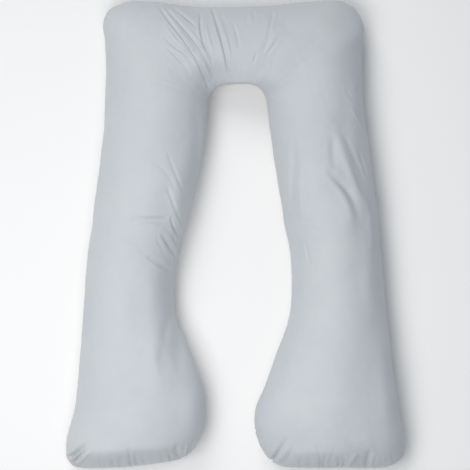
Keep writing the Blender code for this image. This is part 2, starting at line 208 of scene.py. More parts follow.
FOLDS = (
    #    start x, y, then the curve's first and second points, and its end x, y; width, depth
    # troughs that fan out from the left inner corner across the bridge
    Fold(-240, +711, -186, +632, -134, +559, -79, +446, 6.0, +6.5),
    Fold(-216, +699, -158, +629, -98, +546, -55, +434, 5.5, +6.0),
    Fold(-106, +682, -106, +634, -97, +585, -79, +533, 5.5, +6.0),
    Fold(-83, +545, -71, +518, -62, +488, -56, +454, 4.0, +2.6),
    Fold(-76, +710, -51, +625, -30, +542, -18, +448, 6.0, +7.0),
    Fold(-22, +594, -13, +545, -9, +499, -6, +448, 4.5, +1.8),
    Fold(-9, +649, +0, +622, +7, +594, +10, +564, 6.0, +2.5),
    Fold(-197, +700, -170, +679, -145, +658, -121, +634, 5.5, +3.5),
    Fold(-215, +606, -191, +576, -160, +555, -130, +527, 5.0, +4.0),
    Fold(-206, +567, -188, +549, -169, +530, -145, +509, 5.0, +3.5),
    Fold(-125, +534, -110, +510, -98, +485, -83, +449, 5.0, +4.2),
    Fold(-110, +576, -92, +549, -77, +518, -65, +479, 4.0, +5.0),
    Fold(-95, +582, -86, +561, -77, +539, -71, +515, 4.0, +3.0),
    Fold(-138, +573, -120, +549, -104, +525, -92, +494, 4.0, +3.5),
    Fold(-46, +680, -40, +665, -34, +652, -25, +634, 5.0, +1.1),
    Fold(+24, +526, +21, +508, +18, +490, +18, +465, 5.0, +1.0),
    # ridges pulled up between them
    Fold(-207, +668, -162, +610, -119, +552, -77, +455, 5.0, -3.8),
    Fold(-141, +625, -101, +573, -74, +522, -55, +452, 4.5, -3.4),
    Fold(-117, +558, -102, +533, -86, +503, -77, +473, 3.5, -2.5),
    Fold(-94, +649, -85, +613, -76, +579, -63, +543, 6.0, -2.0),
    Fold(-215, +640, -185, +598, -151, +561, -118, +528, 5.0, -2.5),
    Fold(-48, +655, -27, +594, -12, +533, -9, +463, 5.5, -2.5),
    Fold(-182, +561, -163, +543, -145, +525, -127, +500, 4.5, -2.0),
    # softer gathers at the right half of the bridge
    Fold(+113, +687, +110, +660, +104, +626, +95, +587, 6.0, +2.5),
    Fold(+125, +690, +122, +666, +116, +645, +112, +623, 5.0, -1.5),
    Fold(+137, +604, +121, +582, +106, +561, +91, +537, 5.5, +2.2),
    Fold(+124, +613, +115, +592, +103, +574, +88, +552, 5.0, -1.5),
    Fold(+64, +556, +61, +544, +58, +532, +55, +517, 5.0, +1.6),
    Fold(+52, +688, +55, +676, +58, +667, +58, +655, 6.0, +1.6),
    Fold(+37, +684, +37, +669, +34, +654, +34, +636, 6.0, +0.9),
    # slack at the left leg's inner side
    Fold(-316, +43, -280, +49, -240, +49, -201, +52, 5.2, +8.2),
    Fold(-290, +34, -253, +34, -220, +25, -196, +3, 5.0, +5.2),
    Fold(-198, +56, -192, +35, -183, +13, -168, -11, 4.5, +5.2),
    Fold(-186, +65, -177, +44, -168, +19, -159, -2, 4.5, -2.5),
    Fold(-226, +5, -213, -17, -201, -38, -186, -62, 5.0, +6.0),
    Fold(-211, +7, -198, -11, -189, -29, -180, -50, 4.5, -3.6),
    Fold(-358, -19, -310, -37, -261, -68, -206, -110, 7.0, +3.0),
    Fold(-210, +150, -198, +120, -186, +89, -171, +47, 5.0, +4.2),
    Fold(-207, +254, -192, +211, -174, +168, -155, +120, 5.0, +3.2),
    Fold(-279, +244, -243, +220, -209, +186, -182, +135, 5.5, +2.6),
    Fold(-267, -65, -240, -83, -216, -98, -191, -114, 8.0, +5.5),
    Fold(-189, -42, -186, -64, -183, -85, -180, -109, 4.5, +2.5),
    Fold(-241, -8, -232, -26, -222, -44, -213, -66, 5.0, +2.8),
    # small creases of the right leg
    Fold(+349, +388, +364, +367, +380, +342, +395, +315, 4.5, -2.4),
    Fold(+334, +446, +343, +431, +352, +419, +362, +403, 5.0, +1.4),
    Fold(+375, +260, +384, +235, +393, +208, +402, +178, 6.0, +2.2),
    Fold(+191, +37, +213, +43, +234, +40, +258, +31, 4.5, +1.6),
    Fold(+191, +16, +216, +25, +240, +16, +267, +6, 4.5, +1.6),
    Fold(+210, -24, +217, -45, +220, -66, +226, -87, 6.0, +2.0),
    Fold(+223, -86, +241, -70, +266, -61, +293, -67, 6.0, -1.5),
    Fold(+264, +36, +291, +27, +318, +21, +346, +9, 5.5, +1.0),
)

SOFT_FOLDS = (
    #    start x, y, then the curve's first and second points, and its end x, y; width, depth
    # wide folds with round edges, where the filling gives way
    Fold(+328, +309, +349, +264, +370, +215, +398, +148, 9.0, +3.2),
    Fold(+275, +196, +317, +159, +354, +114, +381, +13, 13.5, +7.6),
    Fold(+294, +302, +294, +266, +297, +229, +306, +190, 13.0, +3.8),
    Fold(+300, +335, +330, +237, +364, +152, +409, +67, 14.0, -6.8),
    Fold(+386, +120, +405, +71, +414, +10, +411, -51, 10.0, -3.0),
    Fold(+262, +207, +299, +155, +332, +104, +356, +18, 12.0, -3.4),
    Fold(+179, +295, +176, +216, +173, +137, +176, +52, 9.0, +3.4),
    Fold(+203, +289, +200, +210, +197, +131, +200, +21, 8.0, -3.0),
    Fold(-200, -229, -206, -266, -212, -296, -218, -333, 12.0, +3.4),
    Fold(-214, -307, -220, -350, -220, -386, -211, -435, 18.0, +3.0),
    Fold(-317, +144, -317, +113, -314, +89, -308, +58, 9.0, +1.5),
    Fold(+76, +542, +88, +567, +100, +591, +106, +615, 10.0, +2.6),
    Fold(+385, -611, +400, -626, +415, -647, +434, -672, 10.0, -2.0),
    Fold(+333, -628, +351, -638, +370, -656, +382, -677, 11.0, +2.4),
)

GATHERS = (
    #    start x, y, then the curve's first and second points, and its end x, y; width, depth
    # gathers at the sewn ends of the two feet
    Fold(-509, -684, -491, -669, -472, -654, -448, -633, 6.2, +13.0),
    Fold(-500, -699, -488, -687, -473, -672, -454, -657, 5.2, +9.4),
    Fold(-485, -702, -469, -687, -454, -672, -436, -654, 5.6, -7.8),
    Fold(-414, -715, -414, -694, -411, -679, -411, -664, 5.0, +1.6),
    Fold(-377, -712, -377, -697, -377, -682, -374, -667, 5.0, +3.6),
    Fold(-354, -712, -354, -697, -351, -685, -351, -673, 4.0, +4.0),
    Fold(-323, -709, -323, -685, -323, -663, -326, -642, 4.5, +6.0),
    Fold(-305, -706, -305, -691, -305, -676, -302, -660, 4.0, +5.0),
    Fold(-280, -706, -280, -691, -283, -676, -280, -660, 4.5, +3.4),
    Fold(-253, -702, -253, -684, -256, -666, -262, -648, 5.0, +1.8),
    Fold(-225, -699, -225, -684, -228, -669, -234, -654, 5.0, +3.0),
    Fold(-201, -697, -201, -681, -204, -669, -204, -660, 4.5, +4.5),
    Fold(-177, -682, -180, -670, -180, -655, -174, -636, 10.0, +7.0),
    Fold(-153, -679, -153, -667, -150, -652, -143, -637, 4.5, -6.0),
    Fold(-134, -667, -134, -652, -131, -639, -128, -624, 5.0, +3.0),
    Fold(+110, -699, +125, -674, +140, -647, +159, -617, 6.5, +8.0),
    Fold(+132, -696, +147, -672, +162, -648, +181, -617, 8.0, -3.4),
    Fold(+152, -704, +158, -686, +168, -668, +177, -650, 6.0, +2.5),
    Fold(+198, -709, +198, -691, +201, -679, +204, -667, 5.0, +2.2),
    Fold(+228, -708, +228, -690, +225, -672, +219, -654, 5.5, +1.8),
    Fold(+258, -709, +258, -681, +252, -660, +246, -633, 4.5, +5.0),
    Fold(+270, -709, +270, -688, +273, -673, +279, -661, 4.0, +4.0),
    Fold(+289, -710, +289, -685, +295, -667, +304, -643, 4.5, +3.0),
    Fold(+316, -705, +316, -693, +313, -681, +310, -672, 4.5, +3.6),
    Fold(+331, -709, +331, -690, +328, -675, +325, -660, 4.5, +3.4),
    Fold(+348, -706, +354, -691, +364, -675, +376, -663, 9.0, -4.2),
    Fold(+405, -706, +405, -688, +408, -669, +405, -651, 10.0, +5.0),
    Fold(+426, -706, +426, -694, +429, -682, +432, -670, 4.5, +1.8),
    Fold(+447, -706, +447, -694, +447, -682, +450, -670, 5.0, +1.2),
    Fold(+466, -706, +466, -694, +466, -682, +466, -669, 5.0, +1.0),
    Fold(+487, -699, +484, -687, +481, -675, +475, -662, 5.0, +1.8),
    Fold(+45, -605, +64, -605, +73, -605, +85, -608, 4.5, +4.0),
    Fold(+59, -633, +74, -627, +83, -624, +95, -621, 5.0, +2.5),
)


def smooth_through(knots: np.ndarray, values: np.ndarray, at: np.ndarray) -> np.ndarray:
    """Read a smooth curve that passes through every value.

    Args:
        knots: The rising places of the values.
        values: One row for each knot.
        at: The places to read.

    Returns:
        One row for each place.
    """
    gaps = np.diff(knots)
    slopes = np.diff(values, axis=0) / gaps[:, None]
    tangents = np.empty_like(values)
    tangents[1:-1] = slopes[:-1] * gaps[1:, None] + slopes[1:] * gaps[:-1, None]
    tangents[1:-1] /= (gaps[:-1] + gaps[1:])[:, None]
    # the curve has no bend at its two ends
    tangents[0] = (3 * slopes[0] - tangents[1]) / 2
    tangents[-1] = (3 * slopes[-1] - tangents[-2]) / 2
    span = np.clip(np.searchsorted(knots, at, side="right") - 1, 0, len(gaps) - 1)
    t = ((at - knots[span]) / gaps[span])[:, None]
    gap = gaps[span][:, None]
    return (
        values[span] * (2 * t**3 - 3 * t**2 + 1)
        + values[span + 1] * (3 * t**2 - 2 * t**3)
        + tangents[span] * gap * (t**3 - 2 * t**2 + t)
        + tangents[span + 1] * gap * (t**3 - t**2)
    )


def ease(value: np.ndarray) -> np.ndarray:
    """Ease from 0 to 1 with no corner at either end."""
    share = np.clip(value, 0.0, 1.0)
    return share * share * (3 - 2 * share)


def bulge(share: np.ndarray) -> np.ndarray:
    """Rise from 0 at either edge of a panel to 1 in its middle."""
    return 4 * share * (1 - share)


def bell(off: np.ndarray) -> np.ndarray:
    """Fall from 1 at no distance towards 0, on either side."""
    return np.exp(-(off**2))


def crease_profile(off: np.ndarray, shoulder: float) -> np.ndarray:
    """Give the cut across a crease, from its distance in widths: a bell with a shoulder beside it."""
    return (1 - shoulder * off**2) * bell(off)


def steps_along(line: np.ndarray) -> np.ndarray:
    """Measure from each point of a line to the next."""
    return np.linalg.norm(np.diff(line, axis=0), axis=1)


def run_along(points: np.ndarray, axis: int) -> np.ndarray:
    """Measure how far each point of a grid lies along its own row or column.

    Args:
        points: A grid of points, as rings by columns.
        axis: 0 to measure from ring to ring, 1 to measure across the rings.

    Returns:
        The length from the grid's first ring or column to each point.
    """
    steps = np.linalg.norm(np.diff(points, axis=axis), axis=2)
    start = np.zeros_like(np.take(steps, [0], axis=axis))
    return np.concatenate([start, np.cumsum(steps, axis=axis)], axis=axis)


def points_between(start: np.ndarray, end: np.ndarray, count: int) -> list[np.ndarray]:
    """Space some points evenly between two others."""
    return [start + (end - start) * (step + 1) / (count + 1) for step in range(count)]


def read_rows(items: bpy.types.bpy_prop_collection, name: str) -> np.ndarray:
    """Read one vector from each item of a mesh.

    Args:
        items: The mesh's vertices, or its normals.
        name: The vector's name on one item.

    Returns:
        One row for each item.
    """
    flat = np.empty(len(items) * 3, dtype=np.float32)
    items.foreach_get(name, flat)
    return flat.reshape(-1, 3).astype(float)


def read_whole_numbers(items: bpy.types.bpy_prop_collection, name: str) -> np.ndarray:
    """Read one whole number from each item of a mesh.

    Args:
        items: The mesh's faces, or their corners.
        name: The number's name on one item.

    Returns:
        One number for each item.
    """
    numbers = np.empty(len(items), dtype=np.int32)
    items.foreach_get(name, numbers)
    return numbers


def write_values(mesh: bpy.types.Mesh, name: str, domain: str, values: np.ndarray) -> None:
    """Store one number for each vertex or face corner, under a name that materials can read."""
    attribute = mesh.attributes.new(name, "FLOAT", domain)
    attribute.data.foreach_set("value", values.astype(np.float32))


def place_object(name: str, data: bpy.types.ID) -> bpy.types.Object:
    """Put a mesh, a lamp or a camera into the scene.

    Args:
        name: The new object's name.
        data: What it holds.

    Returns:
        The new object.
    """
    made = bpy.data.objects.new(name, data)
    bpy.context.scene.collection.objects.link(made)
    return made


class Rounding(NamedTuple):
    """How a panel leaves its seam: over what distance it rises, and how softly.

    At power 0.5 it rises in a quarter circle, and above that more softly.
    """

    reach: float
    power: float

    def rise(self, distance: np.ndarray) -> np.ndarray:
        """Rise from 0 at the seam to 1 at the full reach."""
        left = 1.0 - np.clip(distance / self.reach, 0.0, 1.0)
        return (1.0 - left**2) ** self.power


@dataclass
class SewnPanels:
    """The cover's two panels as grids of points, with the border of the front as their common seam.

    The back panel has fewer columns than the front one. Along the sides both have the same rings, and at a
    sewn end each face of the back takes in the front's extra points.
    """

    front: np.ndarray
    back: np.ndarray

    @property
    def ratio(self) -> int:
        """Columns of the front panel for each column of the back panel."""
        return (self.front.shape[1] - 1) // (self.back.shape[1] - 1)

    def front_numbers(self) -> np.ndarray:
        """Number the front panel's vertices."""
        rings, columns = self.front.shape[:2]
        return np.arange(rings * columns).reshape(rings, columns)

    def back_numbers(self) -> np.ndarray:
        """Number the back panel's vertices.

        Returns:
            The numbers, as rings by columns, which are the front panel's own along the seam.
        """
        front = self.front_numbers()
        rings, columns = self.back.shape[:2]
        numbers = np.empty((rings, columns), dtype=int)
        numbers[[0, -1]] = front[[0, -1]][:, :: self.ratio]
        numbers[:, [0, -1]] = front[:, [0, -1]]
        inside = (rings - 2) * (columns - 2)
        numbers[1:-1, 1:-1] = front.size + np.arange(inside).reshape(rings - 2, columns - 2)
        return numbers

    def stack(self, front: np.ndarray, back: np.ndarray) -> np.ndarray:
        """Put values for the two panels into the order of the vertices.

        Args:
            front: Values for the front panel, as rings by columns, with any number of parts.
            back: The same for the back panel.

        Returns:
            One row for each vertex.
        """
        parts = front.shape[2:]
        return np.concatenate([front.reshape(-1, *parts), back[1:-1, 1:-1].reshape(-1, *parts)])

    def split(self, rows: np.ndarray) -> tuple[np.ndarray, np.ndarray]:
        """Undo stack: give each panel its own grid of values again."""
        return rows[self.front_numbers()], rows[self.back_numbers()]

    def faces(self) -> tuple[list[list[int]], list[list[tuple[int, int]]]]:
        """List the faces, wound so that they look outward.

        Returns:
            The vertices of every face, and the grid place of each, for the front panel and then the back.
        """
        front, back = self.front_numbers(), self.back_numbers()
        faces: list[list[int]] = []
        places: list[list[tuple[int, int]]] = []
        for numbers, turn in ((front, -1), (back, 1)):
            rings, columns = numbers.shape
            for ring in range(rings - 1):
                for column in range(columns - 1):
                    corners = [(ring, column), (ring + 1, column), (ring + 1, column + 1), (ring, column + 1)]
                    places.append(corners[::turn])
                    faces.append([int(numbers[corner]) for corner in places[-1]])
        self.close_ends(faces, front)
        return faces, places

    def close_ends(self, faces: list[list[int]], front: np.ndarray) -> None:
        """Add the front's extra points to the faces of the back panel's first and last strips.

        Args:
            faces: The list of faces, changed in place.
            front: The numbers of the front panel's vertices.
        """
        columns = self.back.shape[1] - 1
        first = len(faces) - columns * (self.back.shape[0] - 1)
        last = len(faces) - columns
        for column in range(columns):
            extra = range(column * self.ratio + 1, (column + 1) * self.ratio)
            faces[first + column] += [int(front[0, place]) for place in reversed(extra)]
            faces[last + column][2:2] = [int(front[-1, place]) for place in extra]

    def mesh(self, name: str) -> bpy.types.Mesh:
        """Join the panels into one closed mesh.

        Args:
            name: The mesh's name.

        Returns:
            The new mesh, shaded smooth.
        """
        mesh = bpy.data.meshes.new(name)
        faces, _ = self.faces()
        mesh.from_pydata(self.stack(self.front, self.back).tolist(), [], faces)
        mesh.shade_smooth()
        return mesh


@dataclass
class StuffedTube:
    """The pillow's plain form: where the seams run, and how high the filling stands over them.

    The form is laid out as rings across the tube, close together where the cloth is creased. coarseness
    widens the pitch of all of them. evenness is 1 where the columns of a panel are evenly spaced, and less
    where they crowd towards the seams.
    """

    front_columns: int = 112
    back_columns: int = 28
    evenness: float = 0.5
    coarseness: float = 1.0
    crown_power: float = 0.56
    left_end: Rounding = Rounding(reach=0.082, power=1.00)
    right_end: Rounding = Rounding(reach=0.066, power=0.36)
    base: Rounding = Rounding(reach=0.085, power=0.50)
    seam_inset: float = 0.0006
    swell_fade: float = 0.015
    end_bow_reach: float = 0.120
    left_end_bow: float = 0.004
    right_end_bow: float = -0.003
    swells: tuple[Swell, ...] = SWELLS
    places: np.ndarray = field(init=False)
    outer: np.ndarray = field(init=False)
    inner: np.ndarray = field(init=False)
    heights: np.ndarray = field(init=False)
    rolls: np.ndarray = field(init=False)
    width: np.ndarray = field(init=False)
    from_left_end: np.ndarray = field(init=False)
    from_right_end: np.ndarray = field(init=False)

    def __post_init__(self) -> None:
        """Work out every ring from the table of sections."""
        outer = np.array([(cut.outer_x, cut.outer_y) for cut in SECTIONS])
        inner = np.array([(cut.inner_x, cut.inner_y) for cut in SECTIONS])
        heights = np.array([(cut.crown, cut.outer_seam, cut.inner_seam) for cut in SECTIONS])
        rolls = np.array([(cut.outer_roll, cut.inner_roll) for cut in SECTIONS])
        order = np.arange(len(SECTIONS), dtype=float)
        self.places = self.ring_places(outer, inner)
        self.outer = self.edge(outer)
        self.inner = self.edge(inner)
        knots = run_along(np.stack([outer, inner], axis=1), 0).mean(axis=1)
        self.heights = smooth_through(knots, heights, np.interp(self.places, order, knots))
        self.rolls = np.stack([np.interp(self.places, order, side) for side in rolls.T], axis=1)
        across = self.inner - self.outer
        self.width = np.linalg.norm(across, axis=1)
        inset = across / self.width[:, None] * self.seam_inset
        self.outer = self.outer + inset
        self.inner = self.inner - inset
        middle = (self.outer + self.inner) / 2
        self.from_left_end = np.linalg.norm(middle - middle[0], axis=1)
        self.from_right_end = np.linalg.norm(middle - middle[-1], axis=1)

    def ring_places(self, outer: np.ndarray, inner: np.ndarray) -> np.ndarray:
        """Space the rings by each section's pitch.

        Args:
            outer: The sections' corners on the outer seam.
            inner: The sections' corners on the inner seam.

        Returns:
            Each ring's place along the table, where 3.5 is halfway from section 3 to section 4.
        """
        places: list[float] = []
        for index, run in enumerate(np.maximum(steps_along(outer), steps_along(inner))):
            rings = math.ceil(run / (SECTIONS[index].pitch * self.coarseness))
            places.extend(index + step / rings for step in range(rings))
        places.append(len(outer) - 1)
        return np.array(places, dtype=float)

    def edge(self, corners: np.ndarray) -> np.ndarray:
        """Draw one seam smoothly through the sections' corners.

        Args:
            corners: The sections' corners on the seam.

        Returns:
            A point on the seam for each ring.
        """
        knots = np.concatenate([[0.0], np.cumsum(steps_along(corners))])
        lengths = np.interp(self.places, np.arange(len(corners)), knots)
        return smooth_through(knots, corners, lengths)

    def shares(self, panel: Panel) -> np.ndarray:
        """Space a panel's columns, closest near the seams.

        Args:
            panel: The panel.

        Returns:
            Each column's share of the way from the outer seam, 0, to the inner seam, 1.
        """
        columns = self.front_columns if panel is Panel.FRONT else self.back_columns
        even = np.arange(columns + 1) / columns
        return self.evenness * even + (1 - self.evenness) * (1 - np.cos(np.pi * even)) / 2

    def plan(self, share: np.ndarray) -> np.ndarray:
        """Lay the points across every ring, as seen from above.

        Args:
            share: Each column's share of the way from the outer seam to the inner one.

        Returns:
            The x and y of each point, as rings by columns.
        """
        points = self.outer[:, None, :] * (1 - share)[None, :, None]
        points = points + self.inner[:, None, :] * share[None, :, None]
        left = self.left_end_bow * np.clip(1 - self.from_left_end / self.end_bow_reach, 0, 1)
        right = self.right_end_bow * np.clip(1 - self.from_right_end / self.end_bow_reach, 0, 1)
        points[:, :, 1] -= (left + right)[:, None] * bulge(share)[None, :]
        return points

    def seam_line(self, share: np.ndarray) -> np.ndarray:
        """Give the height of the straight line from the outer seam to the inner one, at each share."""
        return self.heights[:, 1:2] * (1 - share)[None, :] + self.heights[:, 2:3] * share[None, :]

    def end_rise(self, left: Rounding, right: Rounding) -> np.ndarray:
        """Give each ring's share of its full height: less than 1 near a foot's sewn end."""
        return left.rise(self.from_left_end) * right.rise(self.from_right_end)

    def swelling(self, points: np.ndarray) -> np.ndarray:
        """Add up the swells.

        Args:
            points: A panel's points, as rings by columns.

        Returns:
            How much higher than its crown the cloth stands at each point.
        """
        rise = np.zeros(points.shape[:2])
        for swell in self.swells:
            across = (points[:, :, 0] - swell.x) / swell.reach_x
            along = (points[:, :, 1] - swell.y) / swell.reach_y
            rise += swell.height * np.exp(-(across**2) - along**2)
        return rise

    def front_panel(self) -> np.ndarray:
        """Shape the front panel: a crown over the seams, with the swells.

        Returns:
            Its points, as rings by columns.
        """
        share = self.shares(Panel.FRONT)
        crown = bulge(share) ** self.crown_power
        ends = self.end_rise(self.left_end, self.right_end)
        rise = self.heights[:, 0:1] * crown[None, :] * ends[:, None]
        front = np.dstack([self.plan(share), self.seam_line(share) + rise])
        front[:, :, 2] += self.swelling(front)
        return front

    def back_panel(self) -> np.ndarray:
        """Shape the back panel, which curves in under the seam and lies flat along the middle.

        Returns:
            Its points, as rings by columns. Beside the seam they take part in the swells of the front.
        """
        share = self.shares(Panel.BACK)
        from_outer = self.width[:, None] * share[None, :]
        from_inner = self.width[:, None] * (1 - share)[None, :]
        sag = self.base.rise(from_outer) * self.base.rise(from_inner)
        ends = self.end_rise(self.base, self.base)
        back = np.dstack([self.plan(share), self.seam_line(share) * (1 - sag * ends[:, None])])
        near_sides = self.width[:, None] * np.minimum(share, 1 - share)[None, :]
        near_ends = np.minimum(self.from_left_end, self.from_right_end)[:, None]
        back[:, :, 2] += self.swelling(back) * bell(np.minimum(near_sides, near_ends) / self.swell_fade)
        return back

    def panels(self) -> SewnPanels:
        """Shape both panels."""
        return SewnPanels(front=self.front_panel(), back=self.back_panel())


@dataclass(frozen=True)
class Filling:
    """Loose fibre blown into the cover, which presses it out evenly between its seam and the floor.

    The cloth simulation runs on a coarse cover, and evening says how often its movement is averaged.
    """

    pressure: float = 4.0
    frames: int = 18
    quality: int = 6
    cloth_mass: float = 0.25
    tension: float = 12.0
    compression: float = 8.0
    shear: float = 4.0
    bending: float = 0.3
    slack: float = 0.002
    most_movement: float = 0.010
    columns: int = 28
    coarseness: float = 3.2
    evening: int = 6
    least_length: float = 1e-6

    def swell(self, tube: StuffedTube, panels: SewnPanels) -> SewnPanels:
        """Blow up a sewn cover by cloth simulation.

        The coarse cover has no swells, because the simulation would iron them out. Its movement is then
        spread smoothly over the fine one.

        Args:
            tube: The form of the fine cover.
            panels: The fine cover's panels.

        Returns:
            The panels of the swollen cover.
        """
        coarse = StuffedTube(
            front_columns=self.columns, back_columns=self.columns, coarseness=self.coarseness, swells=()
        )
        front, back = self.settle(coarse.panels())
        moved = SewnPanels(
            front=panels.front + self.spread(front, coarse, tube, Panel.FRONT),
            back=panels.back + self.spread(back, coarse, tube, Panel.BACK),
        )
        moved.back[:, :, 2] = np.maximum(moved.back[:, :, 2], 0.0)
        return moved

    def settle(self, panels: SewnPanels) -> tuple[np.ndarray, np.ndarray]:
        """Run the simulation on the coarse cover.

        Args:
            panels: The coarse cover's panels.

        Returns:
            The movement of each point of the front panel and of the back panel.
        """
        piece = place_object("swelling_cover", panels.mesh("swelling_cover"))
        mesh = piece.data
        self.add_cloth(piece, self.held_points(panels))
        rest = read_rows(mesh.vertices, "co")
        for number in range(1, self.frames + 1):
            bpy.context.scene.frame_set(number)
        settled = piece.evaluated_get(bpy.context.evaluated_depsgraph_get())
        moved = read_rows(settled.data.vertices, "co") - rest
        bpy.context.scene.frame_set(1)
        bpy.data.objects.remove(piece, do_unlink=True)
        bpy.data.meshes.remove(mesh)
        far = np.linalg.norm(moved, axis=1)
        log.info("the filling moves the cover %.1f mm at most", far.max() / MM)
        scale = np.minimum(far, self.most_movement) / np.maximum(far, self.least_length)
        front, back = panels.split(moved * scale[:, None])
        return self.evened(front), self.evened(back)

    def evened(self, movement: np.ndarray) -> np.ndarray:
        """Average each point's movement with its neighbours', which takes out small crumples.

        Args:
            movement: A panel's movement, as rings by columns.

        Returns:
            The smoother movement, unchanged along the seam.
        """
        even = movement.copy()
        for _ in range(self.evening):
            beside = even[:-2, 1:-1] + even[2:, 1:-1] + even[1:-1, :-2] + even[1:-1, 2:]
            even[1:-1, 1:-1] = (even[1:-1, 1:-1] + beside / 4) / 2
        return even

    def held_points(self, panels: SewnPanels) -> np.ndarray:
        """List the vertices that the filling doesn't move.

        Args:
            panels: The coarse cover's panels.

        Returns:
            The numbers of the vertices on the seam and on the flat base.
        """
        on_seam = np.zeros(panels.front.shape[:2], dtype=bool)
        on_seam[[0, -1]] = True
        on_seam[:, [0, -1]] = True
        on_floor = panels.back[:, :, 2] < self.least_length
        return np.nonzero(panels.stack(on_seam, on_floor))[0]

    def add_cloth(self, piece: bpy.types.Object, held: np.ndarray) -> None:
        """Give a piece the cloth settings, with pressure inside it and no gravity.

        Args:
            piece: The coarse cover.
            held: The vertices that stay where they are.
        """
        pins = piece.vertex_groups.new(name="held")
        pins.add([int(index) for index in held], 1.0, "REPLACE")
        cloth = piece.modifiers.new("filling", "CLOTH")
        settings = cloth.settings
        settings.quality = self.quality
        settings.mass = self.cloth_mass
        settings.tension_stiffness = self.tension
        settings.compression_stiffness = self.compression
        settings.shear_stiffness = self.shear
        settings.bending_stiffness = self.bending
        settings.shrink_min = -self.slack
        settings.use_pressure = True
        settings.uniform_pressure_force = self.pressure
        settings.vertex_group_mass = pins.name
        settings.effector_weights.gravity = 0.0
        cloth.collision_settings.use_collision = False
        cloth.point_cache.frame_start = 1
        cloth.point_cache.frame_end = self.frames

    @staticmethod
    def spread(movement: np.ndarray, coarse: StuffedTube, fine: StuffedTube, panel: Panel) -> np.ndarray:
        """Read the coarse cover's movement at the points of the fine one.

        Args:
            movement: The coarse panel's movement, as rings by columns.
            coarse: The form of the coarse cover.
            fine: The form of the fine cover.
            panel: The panel that the movement is of.

        Returns:
            The fine panel's movement, as rings by columns.
        """
        rings, columns = movement.shape[:2]
        by_ring = smooth_through(coarse.places, movement.reshape(rings, -1), fine.places)
        by_column = by_ring.reshape(-1, columns, 3).transpose(1, 0, 2).reshape(columns, -1)
        read = smooth_through(coarse.shares(panel), by_column, fine.shares(panel))
        return read.reshape(len(read), -1, 3).transpose(1, 0, 2)


@dataclass
class SeamField:
    """Where each point of the cover lies beside the sewn line.

    away is the distance from the border of the panels, positive on the front and negative on the back.
    beyond is the same from the sewn line itself, which may have rolled up on to the front. along is the run
    of the seam beside the point, from the left foot's outer corner up the outer side.
    """

    away: np.ndarray
    beyond: np.ndarray
    along: np.ndarray
    length: float

    @property
    def offset(self) -> np.ndarray:
        """Give the distance from the sewn line, the same on both sides of it."""
        return np.abs(self.beyond)

    @classmethod
    def of(cls, tube: StuffedTube, panels: SewnPanels) -> "SeamField":
        """Measure a cover.

        Args:
            tube: The form of the cover, which says how far the seam has rolled.
            panels: The cover's panels.

        Returns:
            The measures for every vertex, in the order of the vertices.
        """
        border = cls.around(panels.front)
        steps = np.linalg.norm(np.roll(border, -1, axis=0) - border, axis=1)
        runs = np.cumsum(steps) - steps
        share = run_along(panels.front[:1], 1)[0]
        share = share / share[-1]
        rolls = cls.around(tube.rolls[:, :1] * (1 - share) + tube.rolls[:, 1:] * share)
        points = panels.stack(panels.front, panels.back)
        nearest = cls.nearest_rows(border, points)
        gap = np.full(len(points), np.inf)
        along = np.zeros(len(points))
        roll = np.zeros(len(points))
        for turn in (-1, 1):
            other = (nearest + turn) % len(border)
            edge = border[other] - border[nearest]
            reach = np.linalg.norm(edge, axis=1)
            part = np.clip(((points - border[nearest]) * edge).sum(axis=1) / reach**2, 0, 1)
            distance = np.linalg.norm(points - border[nearest] - edge * part[:, None], axis=1)
            closer = distance < gap
            gap[closer] = distance[closer]
            along[closer] = (runs[nearest] + turn * part * reach)[closer]
            roll[closer] = (rolls[nearest] * (1 - part) + rolls[other] * part)[closer]
        side = panels.stack(np.ones(panels.front.shape[:2]), -np.ones(panels.back.shape[:2]))
        length = float(steps.sum())
        return cls(away=gap * side, beyond=gap * side - roll, along=along % length, length=length)

    @staticmethod
    def around(grid: np.ndarray) -> np.ndarray:
        """Read a panel's border once round, up the outer side and down the inner one."""
        return np.concatenate([grid[:-1, 0], grid[-1, :-1], grid[:0:-1, -1], grid[0, :0:-1]])

    @staticmethod
    def nearest_rows(border: np.ndarray, points: np.ndarray) -> np.ndarray:
        """Find what part of the border lies nearest to each point.

        Args:
            border: The border's points.
            points: The points to look from.

        Returns:
            The number of the border's nearest point, for each point.
        """
        tree = KDTree(len(border))
        for number, place in enumerate(border):
            tree.insert(place, number)
        tree.balance()
        return np.array([tree.find(point)[1] for point in points])

    def along_at_corners(self, mesh: bpy.types.Mesh) -> np.ndarray:
        """Read the run of the seam at the corners of the faces, with no break inside a face.

        Args:
            mesh: The cover's mesh.

        Returns:
            The run at each corner. In a face that lies over the run's start it goes on past the length.
        """
        runs = self.along[read_whole_numbers(mesh.loops, "vertex_index")]
        starts = read_whole_numbers(mesh.polygons, "loop_start")
        corners = np.diff(starts, append=len(runs))
        highest = np.repeat(np.maximum.reduceat(runs, starts), corners)
        return np.where(highest - runs > self.length / 2, runs + self.length, runs)


